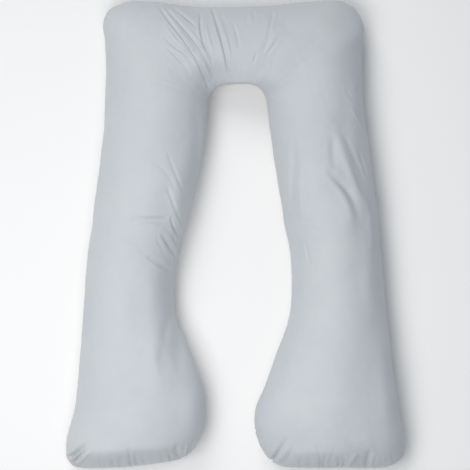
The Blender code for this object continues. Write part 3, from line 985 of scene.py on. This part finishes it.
@dataclass(frozen=True)
class Creases:
    """Creases that have been placed one by one, pressed in from the front panel's surface.

    They fade out towards the seam over the distance fade. reach says how far out a crease is worked out, in
    its own widths, and samples at how many places along it.
    """

    folds: tuple[Fold, ...]
    taper: Taper
    fade: float
    samples: int = 40
    reach: float = 3.2
    shoulder: float = 0.85
    end_sharpness: float = 0.6

    def depth_along(self, t: np.ndarray) -> np.ndarray:
        """Taper a fold towards its ends.

        Args:
            t: Places along the fold, from 0 to 1.

        Returns:
            The share of its full depth at each place.
        """
        if self.taper is Taper.BOTH_ENDS:
            return np.sin(np.pi * t) ** self.end_sharpness
        return 1 - t**3

    def relief(self, points: np.ndarray) -> np.ndarray:
        """Add up the folds.

        Args:
            points: The vertices.

        Returns:
            How far each vertex rises, which is negative in a trough.
        """
        total = np.zeros(len(points))
        t = np.linspace(0.0, 1.0, self.samples)
        for fold in self.folds:
            line = fold.line(t)
            width = fold.width * MM
            low = line.min(axis=0) - self.reach * width
            high = line.max(axis=0) + self.reach * width
            near = np.nonzero(((points[:, :2] > low) & (points[:, :2] < high)).all(axis=1))[0]
            distances = np.linalg.norm(points[near, None, :2] - line[None, :, :], axis=2)
            depth = fold.depth * MM * self.depth_along(t[distances.argmin(axis=1)])
            total[near] -= depth * crease_profile(distances.min(axis=1) / width, self.shoulder)
        return total


@dataclass(frozen=True)
class Puckers:
    """Short creases that the gathered seam throws across itself, uneven in place, length and depth.

    The pairs of shares are the ranges that a pucker's size is drawn from. lengths_read and widths_read say
    how far out it is worked out, in its own lengths and widths.
    """

    spacing: float
    spacing_spread: float
    depth: float
    width: float
    length: float
    seed: int
    least_gap: float = 0.4
    least_share: float = 0.25
    width_shares: tuple[float, float] = (0.75, 1.3)
    length_shares: tuple[float, float] = (0.5, 1.5)
    most_slant: float = 0.35
    shoulder: float = 1.1
    fade_power: float = 1.5
    lengths_read: float = 2.6
    widths_read: float = 6.0
    seam_share: float = 0.35
    seam_reach: float = 0.006

    def relief(self, seam: SeamField, strength: np.ndarray) -> np.ndarray:
        """Work out how far the puckers lift the cloth.

        Args:
            seam: Each vertex's place beside the seam.
            strength: How strongly each vertex is gathered, from 0 to 1.

        Returns:
            The height of the relief at each vertex.
        """
        chance = np.random.default_rng(self.seed)
        height = np.zeros(len(strength))
        near = np.nonzero((seam.offset < self.lengths_read * self.length) & (strength > 0))[0]
        order = near[np.argsort(seam.along[near])]
        runs = seam.along[order]
        place = self.spacing
        while place < seam.length - self.spacing:
            depth = self.depth * chance.uniform(self.least_share, 1.0)
            length = self.length * chance.uniform(*self.length_shares)
            width = self.width * chance.uniform(*self.width_shares)
            slant = chance.uniform(-self.most_slant, self.most_slant)
            span = self.widths_read * width
            low, high = np.searchsorted(runs, [place - span, place + span])
            rows = order[low:high]
            out = seam.offset[rows]
            rise = self.seam_share + (1 - self.seam_share) * ease(out / self.seam_reach)
            fade = np.exp(-((out / length) ** self.fade_power)) * rise
            off = (seam.along[rows] - place - slant * out) / width
            height[rows] -= depth * crease_profile(off, self.shoulder) * fade
            place += max(self.spacing * self.least_gap, chance.normal(self.spacing, self.spacing_spread))
        return height * strength


@dataclass(frozen=True)
class Lumps:
    """Soft unevenness of the fibre under the cover, as a sum of waves in every direction."""

    height: float
    shortest: float
    longest: float
    seed: int
    waves: int = 28

    def relief(self, points: np.ndarray) -> np.ndarray:
        """Add up the waves.

        Args:
            points: The vertices.

        Returns:
            The height of the unevenness at each vertex.
        """
        chance = np.random.default_rng(self.seed)
        directions = chance.normal(size=(self.waves, 3))
        directions /= np.linalg.norm(directions, axis=1)[:, None]
        lengths = chance.uniform(self.shortest, self.longest, self.waves)
        phases = chance.uniform(0, 2 * np.pi, self.waves)
        turns = points @ (directions * (2 * np.pi / lengths)[:, None]).T + phases
        return self.height * np.sqrt(2 / self.waves) * np.cos(turns).sum(axis=1)


@dataclass(frozen=True)
class CornerFan:
    """Faint creases that spread from an inner corner, where the cloth is pulled round it.

    The first and last angles are in degrees, anticlockwise from +X. The pairs of shares are the ranges that
    a crease's start, end, width and depth are drawn from.
    """

    centre_x: float
    centre_y: float
    first_angle: float
    last_angle: float
    creases: int
    depth: float
    width: float
    nearest: float
    farthest: float
    seed: int
    fade: float = 0.005
    angle_spread: float = 0.5
    bend_spread: float = 0.05
    start_shares: tuple[float, float] = (0.8, 2.2)
    end_shares: tuple[float, float] = (0.35, 1.0)
    width_shares: tuple[float, float] = (0.8, 1.4)
    depth_shares: tuple[float, float] = (0.3, 1.0)

    def build(self) -> Creases:
        """Lay out the creases.

        Returns:
            The creases, whose folds are in millimetres like the tables of folds.
        """
        chance = np.random.default_rng(self.seed)
        fan = math.radians(self.last_angle - self.first_angle)
        rows = []
        for angle in np.radians(np.linspace(self.first_angle, self.last_angle, self.creases)):
            turn = angle + chance.normal(0, self.angle_spread) * fan / self.creases
            start = self.nearest * chance.uniform(*self.start_shares)
            end = self.farthest * chance.uniform(*self.end_shares)
            bend = chance.normal(0, self.bend_spread)
            route: list[float] = []
            for share in (0.0, 1 / 3, 2 / 3, 1.0):
                out = start + (end - start) * share
                aim = turn + bend * share
                route.append((self.centre_x + out * math.cos(aim)) / MM)
                route.append((self.centre_y + out * math.sin(aim)) / MM)
            width = self.width * chance.uniform(*self.width_shares) / MM
            depth = self.depth * chance.uniform(*self.depth_shares) / MM
            rows.append(Fold(*route, width=width, depth=depth))
        return Creases(folds=tuple(rows), taper=Taper.BOTH_ENDS, fade=self.fade)


@dataclass
class PillowCover:
    """The cotton cover: two U-shaped panels sewn round, swollen by the filling and creased by it."""

    tube: StuffedTube = field(default_factory=StuffedTube)
    filling: Filling = field(default_factory=Filling)
    folds: Creases = Creases(folds=FOLDS, taper=Taper.BOTH_ENDS, fade=0.005)
    soft_folds: Creases = Creases(
        folds=SOFT_FOLDS, taper=Taper.BOTH_ENDS, fade=0.012, shoulder=0.25, end_sharpness=0.9
    )
    gathers: Creases = Creases(folds=GATHERS, taper=Taper.FAR_END, fade=0.0015)
    left_fan: CornerFan = CornerFan(
        centre_x=-0.080,
        centre_y=0.425,
        first_angle=112,
        last_angle=172,
        creases=13,
        depth=0.0012,
        width=0.0048,
        nearest=0.045,
        farthest=0.230,
        seed=3,
    )
    right_fan: CornerFan = CornerFan(
        centre_x=0.085,
        centre_y=0.425,
        first_angle=15,
        last_angle=78,
        creases=8,
        depth=0.0008,
        width=0.0060,
        nearest=0.050,
        farthest=0.200,
        seed=8,
    )
    side_puckers: Puckers = Puckers(
        spacing=0.034, spacing_spread=0.010, depth=0.0009, width=0.0070, length=0.022, seed=11
    )
    foot_puckers: Puckers = Puckers(
        spacing=0.0125, spacing_spread=0.004, depth=0.0016, width=0.0040, length=0.018, seed=5
    )
    soft_lumps: Lumps = Lumps(height=0.0006, shortest=0.080, longest=0.150, seed=21)
    small_lumps: Lumps = Lumps(height=0.00012, shortest=0.020, longest=0.040, seed=22)
    groove_depth: float = 0.0020
    groove_width: float = 0.0040
    base_fade: float = 0.030
    facing_gain: float = 2.0
    facing_start: float = 0.6
    feet_top: float = -0.60
    feet_fade: float = 0.06
    back_shift: float = 1.3

    def relief(self, points: np.ndarray, normals: np.ndarray, seam: SeamField) -> np.ndarray:
        """Add up all that lifts or sinks the cloth from its smooth form.

        Args:
            points: The vertices of the smooth cover.
            normals: Their normals.
            seam: Their places beside the seam.

        Returns:
            The height of the relief at each vertex.
        """
        on_front = (seam.away >= 0).astype(float)
        facing = ease(normals[:, 2] * self.facing_gain + self.facing_start) * on_front
        free = ease(points[:, 2] / self.base_fade)
        feet = ease((self.feet_top - points[:, 1]) / self.feet_fade)
        height = self.gathers.relief(points) * ease(seam.offset / self.gathers.fade) * on_front
        fans = (fan.build() for fan in (self.left_fan, self.right_fan))
        for creases in (self.folds, self.soft_folds, *fans):
            height += creases.relief(points) * ease(seam.away / creases.fade) * facing
        height -= self.groove_depth * bell(seam.offset / self.groove_width)
        height += self.side_puckers.relief(seam, 1 - feet) * free
        height += self.foot_puckers.relief(seam, feet) * free
        height += (self.soft_lumps.relief(points) + self.small_lumps.relief(points)) * free
        return height

    def flatten(self, panel: np.ndarray, shift: float) -> np.ndarray:
        """Unroll one panel into the flat shape it was cut to, as near as it goes.

        Args:
            panel: The panel's points, as rings by columns.
            shift: How far the flat shape lies along +X.

        Returns:
            The place of each point on the flat cloth.
        """
        flat = panel[:, :, :2].copy()
        middle = panel.shape[1] // 2
        extra = run_along(panel, 1) - run_along(flat, 1)
        extra -= extra[:, middle:middle + 1]
        across = (self.tube.inner - self.tube.outer) / self.tube.width[:, None]
        flat += extra[:, :, None] * across[:, None, :]
        flat[:, :, 0] += shift
        return flat

    def flat_pattern(self, panels: SewnPanels) -> np.ndarray:
        """Lay both panels out flat, side by side.

        Args:
            panels: The smooth cover's panels.

        Returns:
            The place of each corner of each face on the flat cloth, in the order of the faces.
        """
        front, back = self.flatten(panels.front, 0.0), self.flatten(panels.back, self.back_shift)
        _, places = panels.faces()
        front_faces = (front.shape[0] - 1) * (front.shape[1] - 1)
        corners = [front[tuple(np.array(places[:front_faces]).reshape(-1, 2).T)]]
        back_places = places[front_faces:]
        columns = back.shape[1] - 1
        spare = panels.ratio - 1
        for number, place in enumerate(back_places):
            rows = [back[corner] for corner in place]
            if number < columns:
                rows += points_between(rows[3], rows[0], spare)
            elif number >= len(back_places) - columns:
                rows[2:2] = points_between(rows[1], rows[2], spare)
            corners.append(np.array(rows))
        return np.concatenate(corners)

    def build(self) -> bpy.types.Object:
        """Returns:
            The finished piece.
        """
        panels = self.tube.panels()
        panels = self.filling.swell(self.tube, panels)
        mesh = panels.mesh("cover")
        pattern = mesh.uv_layers.new(name=FLAT_PATTERN)
        pattern.uv.foreach_set("vector", self.flat_pattern(panels).astype(np.float32).ravel())
        seam = SeamField.of(self.tube, panels)
        points = read_rows(mesh.vertices, "co")
        normals = read_rows(mesh.vertex_normals, "vector")
        creased = points + normals * self.relief(points, normals, seam)[:, None]
        creased[:, 2] = np.maximum(creased[:, 2], 0.0)
        mesh.vertices.foreach_set("co", creased.astype(np.float32).ravel())
        mesh.update()
        write_values(mesh, FROM_SEAM, "POINT", seam.beyond)
        write_values(mesh, SEAM_RUN, "CORNER", seam.along_at_corners(mesh))
        log.info("the cover is creased; its seam runs %.2f m", seam.length)
        mesh.materials.append(CoverCotton().material())
        cover = place_object("cover", mesh)
        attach(cover, "root")
        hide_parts(PILLOW_NODE)
        return cover


SocketValue = float | tuple[float, ...] | bpy.types.NodeSocket
Inputs = dict[str | int, SocketValue]


class Blend(Enum):
    """What a Mix node blends: its data type, the numbers of its two inputs, and that of its output."""

    NUMBERS = ("FLOAT", 2, 3, 0)
    COLOURS = ("RGBA", 6, 7, 2)


class NodeSheet:
    """A small helper that adds nodes to a tree and wires them."""

    def __init__(self, tree: bpy.types.NodeTree) -> None:
        """Work on one tree."""
        self.tree = tree

    def feed(self, node: bpy.types.Node, inputs: Inputs) -> None:
        """Give a node's inputs their values, or wire them up.

        Args:
            node: The node.
            inputs: A value or an output socket for each input, by the input's name or number.
        """
        for name, value in inputs.items():
            if isinstance(value, bpy.types.NodeSocket):
                self.tree.links.new(value, node.inputs[name])
            else:
                node.inputs[name].default_value = value

    def add(self, kind: str, inputs: Inputs | None = None, **settings: object) -> bpy.types.Node:
        """Add a node.

        Args:
            kind: The node's type name, without its ShaderNode prefix.
            inputs: Values or output sockets for its inputs.
            **settings: Values for the node's own properties.

        Returns:
            The new node.
        """
        node = self.tree.nodes.new("ShaderNode" + kind)
        for name, value in settings.items():
            setattr(node, name, value)
        self.feed(node, inputs or {})
        return node

    def place(self, group: "NodeGroup", inputs: Inputs) -> bpy.types.Node:
        """Place a node group with its own values."""
        return self.add("Group", inputs, node_tree=group.tree())

    def math(self, operation: str, *values: SocketValue) -> bpy.types.NodeSocket:
        """Add a Math node and give its output."""
        return self.add("Math", dict(enumerate(values)), operation=operation).outputs[0]

    def mix(
        self, blend: Blend, share: SocketValue, low: SocketValue, high: SocketValue
    ) -> bpy.types.NodeSocket:
        """Add a Mix node and give its output."""
        kind, first, second, output = blend.value
        return self.add("Mix", {0: share, first: low, second: high}, data_type=kind).outputs[output]

    def noise(self, vector: SocketValue, scale: SocketValue, detail: float = 2.0) -> bpy.types.Node:
        """Add a Noise texture."""
        return self.add("TexNoise", {"Vector": vector, "Scale": scale, "Detail": detail})


@dataclass(frozen=True)
class Socket:
    """One named socket of a node group."""

    name: str
    kind: str = "NodeSocketFloat"
    value: float | None = None


@dataclass(frozen=True)
class NodeGroup:
    """A shader node group with named sockets, built once and found again by its name."""

    name: str
    inputs: tuple[Socket, ...]
    outputs: tuple[Socket, ...]

    def wire(self, sheet: NodeSheet, given: bpy.types.NodeOutputs) -> Inputs:
        """Add the group's own nodes, from its inputs, and give what each output puts out."""
        raise NotImplementedError

    def tree(self) -> bpy.types.NodeTree:
        """Give the group, and build it the first time.

        Returns:
            The node tree to place in a material.
        """
        found = bpy.data.node_groups.get(self.name)
        if found:
            return found
        tree = bpy.data.node_groups.new(self.name, "ShaderNodeTree")
        for sockets, way in ((self.inputs, "INPUT"), (self.outputs, "OUTPUT")):
            for socket in sockets:
                made = tree.interface.new_socket(socket.name, in_out=way, socket_type=socket.kind)
                if socket.value is not None:
                    made.default_value = socket.value
        given = tree.nodes.new("NodeGroupInput").outputs
        sheet = NodeSheet(tree)
        sheet.feed(tree.nodes.new("NodeGroupOutput"), self.wire(sheet, given))
        return tree


@dataclass(frozen=True)
class PlainWeave(NodeGroup):
    """Threads that pass over and under one another, with thick and thin places in the yarn."""

    name: str = "plain_weave"
    inputs: tuple[Socket, ...] = (
        Socket("Vector", "NodeSocketVector"),
        Socket("Thread Pitch", value=0.0005),
        Socket("Unevenness", value=0.5),
    )
    outputs: tuple[Socket, ...] = (Socket("Height"), Socket("Yarn Tone"))
    over: float = 0.45
    slub_stretch: float = 0.03
    slub_scale: float = 900.0

    def wire(self, sheet: NodeSheet, given: bpy.types.NodeOutputs) -> Inputs:
        """Raise each thread by turns, and vary the yarn along it.

        Args:
            sheet: The group's nodes.
            given: The sockets of its inputs.

        Returns:
            The height of the cloth, and the yarn's own tone about one half.
        """
        half_turns = sheet.math("DIVIDE", math.pi, given["Thread Pitch"])
        parts = sheet.add("SeparateXYZ", {0: given["Vector"]}).outputs
        waves = [sheet.math("SINE", sheet.math("MULTIPLY", part, half_turns)) for part in parts[:2]]
        heights = []
        slubs = []
        for own, other, sign, stretch in (
            (waves[0], waves[1], self.over, (1.0, self.slub_stretch, 1.0)),
            (waves[1], waves[0], -self.over, (self.slub_stretch, 1.0, 1.0)),
        ):
            side = sheet.math("MULTIPLY", sheet.math("SIGN", own), sign)
            lift = sheet.math("MULTIPLY_ADD", other, side, 1 - self.over)
            heights.append(sheet.math("MULTIPLY", sheet.math("ABSOLUTE", own), lift))
            stretched = sheet.add("VectorMath", {0: given["Vector"], 1: stretch}, operation="MULTIPLY")
            slubs.append(sheet.noise(stretched.outputs[0], self.slub_scale).outputs["Fac"])
        warp_on_top = sheet.math("GREATER_THAN", *heights)
        yarn = sheet.mix(Blend.NUMBERS, warp_on_top, slubs[1], slubs[0])
        swing = sheet.math("MULTIPLY", sheet.math("SUBTRACT", yarn, 0.5), given["Unevenness"])
        height = sheet.math("ADD", sheet.math("MAXIMUM", *heights), swing)
        return {"Height": height, "Yarn Tone": yarn}


@dataclass(frozen=True)
class CloudyTone(NodeGroup):
    """Large soft patches of tone, with smaller ones over them."""

    name: str = "cloudy_tone"
    inputs: tuple[Socket, ...] = (
        Socket("Vector", "NodeSocketVector"),
        Socket("Scale", value=6.0),
        Socket("Contrast", value=1.0),
    )
    outputs: tuple[Socket, ...] = (Socket("Tone"),)
    small_patches: float = 5.0
    small_share: float = 0.3

    def wire(self, sheet: NodeSheet, given: bpy.types.NodeOutputs) -> Inputs:
        """Lay small patches over large ones.

        Args:
            sheet: The group's nodes.
            given: The sockets of its inputs.

        Returns:
            The tone, about one half.
        """
        large = sheet.noise(given["Vector"], given["Scale"]).outputs["Fac"]
        finer = sheet.math("MULTIPLY", given["Scale"], self.small_patches)
        small = sheet.noise(given["Vector"], finer).outputs["Fac"]
        both = sheet.mix(Blend.NUMBERS, self.small_share, large, small)
        swing = sheet.math("MULTIPLY", sheet.math("SUBTRACT", both, 0.5), given["Contrast"])
        tone = sheet.add("Math", {0: swing, 1: 0.5}, operation="ADD", use_clamp=True)
        return {"Tone": tone.outputs[0]}


@dataclass(frozen=True)
class FineGrain(NodeGroup):
    """The loose fibre ends of cloth, or the tooth of paper."""

    name: str = "fine_grain"
    inputs: tuple[Socket, ...] = (Socket("Vector", "NodeSocketVector"), Socket("Grain Size", value=0.001))
    outputs: tuple[Socket, ...] = (Socket("Height"),)
    detail: float = 3.0

    def wire(self, sheet: NodeSheet, given: bpy.types.NodeOutputs) -> Inputs:
        """Make a noise whose grains have the given size."""
        scale = sheet.math("DIVIDE", 1.0, given["Grain Size"])
        return {"Height": sheet.noise(given["Vector"], scale, self.detail).outputs["Fac"]}


@dataclass(frozen=True)
class FaintCreases(NodeGroup):
    """Fine crumpled lines left in washed cotton, too shallow to be modelled."""

    name: str = "faint_creases"
    inputs: tuple[Socket, ...] = (Socket("Vector", "NodeSocketVector"), Socket("Scale", value=20.0))
    outputs: tuple[Socket, ...] = (Socket("Height"),)
    sway_scale: float = 7.0
    bending: float = 0.03
    detail: float = 3.0
    sharpness: float = 3.0

    def wire(self, sheet: NodeSheet, given: bpy.types.NodeOutputs) -> Inputs:
        """Fold a noise about its middle value, which turns its level lines into creases.

        Args:
            sheet: The group's nodes.
            given: The sockets of its inputs.

        Returns:
            The height, from 0 off the creases to 1 along them.
        """
        sway = sheet.noise(given["Vector"], self.sway_scale).outputs["Color"]
        bend = {0: sway, 1: (self.bending,) * 3, 2: given["Vector"]}
        bent = sheet.add("VectorMath", bend, operation="MULTIPLY_ADD").outputs[0]
        base = sheet.noise(bent, given["Scale"], self.detail).outputs["Fac"]
        off = sheet.math("ABSOLUTE", sheet.math("SUBTRACT", base, 0.5))
        fall = sheet.math("MINIMUM", sheet.math("MULTIPLY", off, self.sharpness), 1.0)
        ridge = sheet.math("SUBTRACT", 1.0, fall)
        return {"Height": sheet.math("MULTIPLY", ridge, ridge)}


@dataclass(frozen=True)
class TurnedSeam(NodeGroup):
    """The line where two panels meet, sewn inside and turned: a slit that each stitch pulls in, with painted
    shade in it.
    """

    name: str = "turned_seam"
    inputs: tuple[Socket, ...] = (
        Socket("From Seam"),
        Socket("Seam Run"),
        Socket("Stitch Length", value=0.003),
        Socket("Slit Width", value=0.0012),
    )
    outputs: tuple[Socket, ...] = (Socket("Slit Shade"), Socket("Pull"))
    pull_reach: float = 4.0

    def wire(self, sheet: NodeSheet, given: bpy.types.NodeOutputs) -> Inputs:
        """Fade the slit's painted shade and the stitches' pull with the distance from the seam.

        Args:
            sheet: The group's nodes.
            given: The sockets of its inputs.

        Returns:
            How much painted shade the slit takes, and how hard the nearest stitch pulls, both from 0 to 1.
        """
        from_seam = sheet.math("ABSOLUTE", given["From Seam"])
        distance = sheet.math("DIVIDE", from_seam, given["Slit Width"])
        squared = sheet.math("MULTIPLY", distance, distance)
        # the slit's painted shade: a narrow bell across the sewn line
        slit = sheet.math("EXPONENT", sheet.math("MULTIPLY", squared, -1.0))
        beside = sheet.math("EXPONENT", sheet.math("DIVIDE", distance, -self.pull_reach))
        turns = sheet.math("DIVIDE", given["Seam Run"], given["Stitch Length"])
        wave = sheet.math("COSINE", sheet.math("MULTIPLY", turns, 2 * math.pi))
        half = sheet.math("MULTIPLY_ADD", wave, 0.5, 0.5)
        return {"Slit Shade": slit, "Pull": sheet.math("MULTIPLY", half, beside)}


@dataclass(frozen=True)
class Finish:
    """A material with one Principled shader."""

    name: str

    def dress(self, sheet: NodeSheet) -> Inputs:
        """Add the finish's own nodes, and give what feeds each input of the shader."""
        raise NotImplementedError

    def material(self) -> bpy.types.Material:
        """Make the material.

        Returns:
            The new material.
        """
        material = bpy.data.materials.new(self.name)
        material.use_nodes = True
        sheet = NodeSheet(material.node_tree)
        sheet.feed(material.node_tree.nodes["Principled BSDF"], self.dress(sheet))
        return material


@dataclass(frozen=True)
class CoverCotton(Finish):
    """Fine pale grey cotton in a plain weave, cool in tint, with a soft sheen.

    It reads the flat pattern and the seam's measures from its mesh, and paints shade into the seam's slit.
    """

    name: str = "cover_cotton"
    colour: tuple[float, float, float, float] = (0.616, 0.624, 0.628, 1.0)
    shaded: tuple[float, float, float, float] = (0.556, 0.580, 0.606, 1.0)
    # painted shade: the dark of the slit along the sewn line
    slit_shade_colour: tuple[float, float, float, float] = (0.300, 0.320, 0.345, 1.0)
    yarn_contrast: float = 0.10
    smooth: float = 0.56
    rough: float = 0.72
    sheen: float = 0.25
    sheen_roughness: float = 0.45
    thread_pitch: float = 0.0005
    thread_height: float = 0.00006
    fibre_size: float = 0.0012
    fibre_height: float = 0.00002
    crease_scale: float = 16.0
    crease_height: float = 0.00035
    stitch_length: float = 0.0030
    slit_width: float = 0.0016
    pull_depth: float = 0.0005
    patch_scale: float = 5.0
    patch_contrast: float = 2.0

    def seam(self, sheet: NodeSheet) -> bpy.types.Node:
        """Place the turned seam.

        Args:
            sheet: The material's nodes.

        Returns:
            The placed group.
        """
        measures = {
            "From Seam": sheet.add("Attribute", attribute_name=FROM_SEAM).outputs["Fac"],
            "Seam Run": sheet.add("Attribute", attribute_name=SEAM_RUN).outputs["Fac"],
            "Stitch Length": self.stitch_length,
            "Slit Width": self.slit_width,
        }
        return sheet.place(TurnedSeam(), measures)

    def dress(self, sheet: NodeSheet) -> Inputs:
        """Weave the cotton, tone it, sew it and paint shade into the seam's slit.

        Args:
            sheet: The material's nodes.

        Returns:
            What feeds each input of the shader. The heights for the Bump node are in metres.
        """
        cloth = sheet.add("UVMap", uv_map=FLAT_PATTERN).outputs[0]
        seam = self.seam(sheet)
        weave = sheet.place(PlainWeave(), {"Vector": cloth, "Thread Pitch": self.thread_pitch})
        fibres = sheet.place(FineGrain(), {"Vector": cloth, "Grain Size": self.fibre_size})
        creases = sheet.place(FaintCreases(), {"Vector": cloth, "Scale": self.crease_scale})
        clouds = {"Vector": cloth, "Scale": self.patch_scale, "Contrast": self.patch_contrast}
        patches = sheet.place(CloudyTone(), clouds).outputs["Tone"]
        tone = sheet.math("SUBTRACT", weave.outputs["Yarn Tone"], 0.5)
        tone = sheet.math("MULTIPLY_ADD", tone, self.yarn_contrast, patches)
        colour = sheet.mix(Blend.COLOURS, tone, self.shaded, self.colour)
        roughness = sheet.add("MapRange", {"Value": patches, "To Min": self.rough, "To Max": self.smooth})
        height = sheet.math("MULTIPLY", weave.outputs["Height"], self.thread_height)
        height = sheet.math("MULTIPLY_ADD", fibres.outputs["Height"], self.fibre_height, height)
        height = sheet.math("MULTIPLY_ADD", creases.outputs["Height"], self.crease_height, height)
        height = sheet.math("MULTIPLY_ADD", seam.outputs["Pull"], -self.pull_depth, height)
        return {
            # the slit along the seam gets painted shade
            "Base Color": sheet.mix(Blend.COLOURS, seam.outputs["Slit Shade"], colour, self.slit_shade_colour),
            "Roughness": roughness.outputs[0],
            "Normal": sheet.add("Bump", {"Distance": 1.0, "Height": height}).outputs[0],
            "Sheen Weight": self.sheen,
            "Sheen Roughness": self.sheen_roughness,
        }


@dataclass(frozen=True)
class FloorPaper(Finish):
    """White backdrop paper with a fine tooth."""

    name: str = "floor_paper"
    colour: tuple[float, float, float, float] = (0.970, 0.948, 0.925, 1.0)
    shaded: tuple[float, float, float, float] = (0.955, 0.932, 0.910, 1.0)
    roughness: float = 0.9
    patch_scale: float = 0.8
    tooth_size: float = 0.002
    tooth_height: float = 0.00005

    def dress(self, sheet: NodeSheet) -> Inputs:
        """Tone the paper and give it its tooth.

        Args:
            sheet: The material's nodes.

        Returns:
            What feeds each input of the shader.
        """
        place = sheet.add("TexCoord").outputs["Object"]
        patches = sheet.place(CloudyTone(), {"Vector": place, "Scale": self.patch_scale})
        tooth = sheet.place(FineGrain(), {"Vector": place, "Grain Size": self.tooth_size})
        bump = sheet.add("Bump", {"Distance": self.tooth_height, "Height": tooth.outputs["Height"]})
        return {
            "Base Color": sheet.mix(Blend.COLOURS, patches.outputs["Tone"], self.shaded, self.colour),
            "Roughness": self.roughness,
            "Normal": bump.outputs[0],
        }


@dataclass(frozen=True)
class SoftBox:
    """A square studio light with a diffuser, aimed at a point on the floor."""

    name: str
    place: tuple[float, float, float]
    aim: tuple[float, float, float]
    side: float
    power: float

    def build(self) -> None:
        """Hang the light."""
        lamp = bpy.data.lights.new(self.name, "AREA")
        lamp.shape = "SQUARE"
        lamp.size = self.side
        lamp.energy = self.power
        holder = place_object(self.name, lamp)
        holder.location = self.place
        away = Vector(self.place) - Vector(self.aim)
        holder.rotation_euler = away.to_track_quat("Z", "Y").to_euler()


@dataclass
class Studio:
    """The pale floor, the soft light and the camera straight overhead."""

    floor_side: float = 14.0
    floor_drop: float = 0.0004
    fill: float = 0.34
    fill_colour: tuple[float, float, float, float] = (0.80, 0.90, 1.0, 1.0)
    lens: float = 150.0
    sensor: float = 36.0
    picture_height: float = 1.4523
    seam_height: float = 0.075
    camera_x: float = -0.0015
    camera_y: float = -0.0003
    lights: tuple[SoftBox, ...] = (
        SoftBox("key_box", place=(-2.0, 4.9, 5.3), aim=(0.0, 0.0, 0.1), side=4.0, power=168.5),
        SoftBox("boom_box", place=(-0.80, -0.68, 2.8), aim=(-0.40, -0.34, 0.1), side=2.2, power=49.2),
    )

    def build_floor(self) -> None:
        """Lay the floor."""
        half = self.floor_side / 2
        corners = [(-half, -half, 0), (half, -half, 0), (half, half, 0), (-half, half, 0)]
        mesh = bpy.data.meshes.new("floor")
        mesh.from_pydata(corners, [], [(0, 1, 2, 3)])
        mesh.materials.append(FloorPaper().material())
        floor = place_object("floor", mesh)
        floor.location.z = -self.floor_drop

    def build_world(self) -> None:
        """Fill the room with a little even light, slightly cool."""
        world = bpy.data.worlds.new("studio")
        world.use_nodes = True
        background = world.node_tree.nodes["Background"]
        background.inputs["Color"].default_value = self.fill_colour
        background.inputs["Strength"].default_value = self.fill
        bpy.context.scene.world = world

    def build_camera(self) -> None:
        """Hang the camera over the pillow's middle, looking straight down."""
        lens = bpy.data.cameras.new("camera")
        lens.lens = self.lens
        lens.sensor_width = self.sensor
        camera = place_object("camera", lens)
        distance = self.picture_height * self.lens / self.sensor
        camera.location = (self.camera_x, self.camera_y, self.seam_height + distance)
        bpy.context.scene.camera = camera

    def build(self) -> None:
        """Set up the whole studio."""
        self.build_floor()
        self.build_world()
        for light in self.lights:
            light.build()
        self.build_camera()
        bpy.context.scene.view_settings.view_transform = "Standard"


def main() -> None:
    """Build every piece and report it."""
    logging.basicConfig(level=logging.INFO, format="%(name)s: %(message)s")
    Studio().build()
    log.info("studio ready")
    cover = PillowCover().build()
    log.info("%s has %d faces", cover.name, len(cover.data.polygons))


if __name__ == "__main__":
    main()
